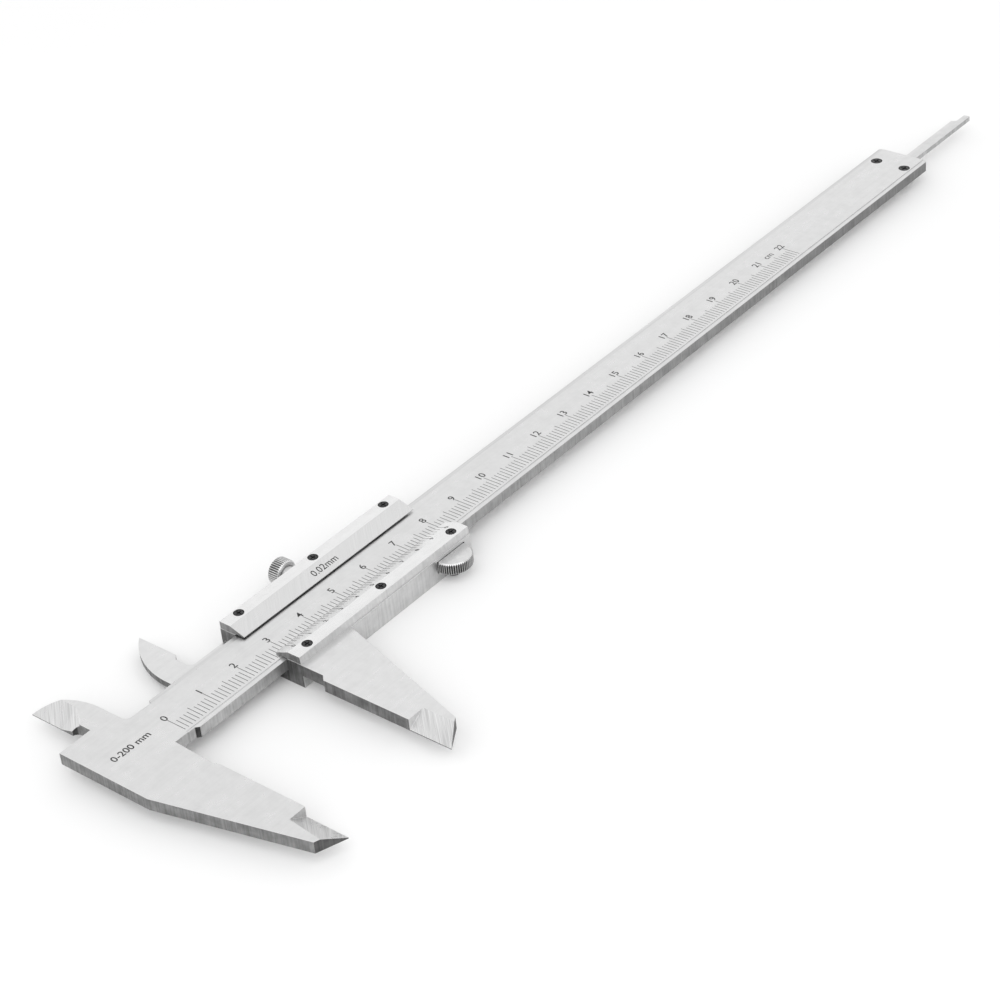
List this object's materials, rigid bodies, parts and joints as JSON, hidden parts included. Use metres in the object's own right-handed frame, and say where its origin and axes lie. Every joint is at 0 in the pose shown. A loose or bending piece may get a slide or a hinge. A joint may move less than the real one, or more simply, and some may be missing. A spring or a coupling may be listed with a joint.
{
  "type": "vernier caliper",
  "caption": "Steel vernier caliper with a graduated beam, a slider with outside and inside jaws, a thumb roller, a knurled lock screw and a depth bar.",
  "frame": {"origin": "middle of the fixed outside measuring face, half way through the jaw's thickness", "axes": "+X along the beam from the fixed jaw towards its free end, +Y from the outside jaws towards the inside jaws, +Z out of the scale side; it lies on its back"},
  "size_m": [0.328, 0.0785, 0.0076],
  "materials": {
    "satin_steel": "fine straight brushing along the beam",
    "satin_chrome": "satin plated, pale grey, low glare",
    "ground_steel": "ground, a little darker than the beam",
    "bright_chrome": "bright plated with a straight knurl",
    "black_oxide": "black oxide, semi-gloss",
    "gib_brass": "plain rolled strip"
  },
  "bodies": {
    "beam": {"main_beam": "satin_steel", "end_stop_plate": "satin_steel", "end_stop_screw_1": "black_oxide", "end_stop_screw_2": "black_oxide"},
    "slider": {"slider_body": "satin_steel", "vernier_plate": "satin_chrome", "upper_plate": "satin_chrome", "vernier_plate_screw_1": "black_oxide", "vernier_plate_screw_2": "black_oxide", "vernier_plate_screw_3": "black_oxide", "upper_plate_screw_1": "black_oxide", "upper_plate_screw_2": "black_oxide", "upper_plate_screw_3": "black_oxide", "depth_bar": "ground_steel", "depth_bar_rivet_1": "ground_steel", "depth_bar_rivet_2": "ground_steel", "roller_axle": "ground_steel"},
    "gib": {"gib_strip": "gib_brass"},
    "lock_screw": {"lock_screw": "bright_chrome"},
    "thumb_roller": {"thumb_roller": "bright_chrome"}
  },
  "joints": [
    {"name": "slider_slide", "type": "slide", "parent": "beam", "child": "slider", "axis": [1, 0, 0], "range_m": [-0.03028, 0.1841]},
    {"name": "gib_slide", "type": "slide", "parent": "slider", "child": "gib", "axis": [0, 1, 0], "range_m": [-0.000138, 0.00025]},
    {"name": "lock_screw_turn", "type": "hinge", "parent": "gib", "child": "lock_screw", "pos_m": [0.0546, 0.0376, 0], "axis": [0, 1, 0], "range_deg": [-100, 181]},
    {"name": "thumb_roller_turn", "type": "hinge", "parent": "slider", "child": "thumb_roller", "pos_m": [0.0789, 0.0179, -0.0008], "axis": [0, 0, 1], "continuous": true}
  ],
  "couplings": [
    {"joint": "lock_screw_turn", "follows": "gib_slide", "rad_per_m": 12566},
    {"joint": "thumb_roller_turn", "follows": "slider_slide", "rad_per_m": 222.22}
  ]
}
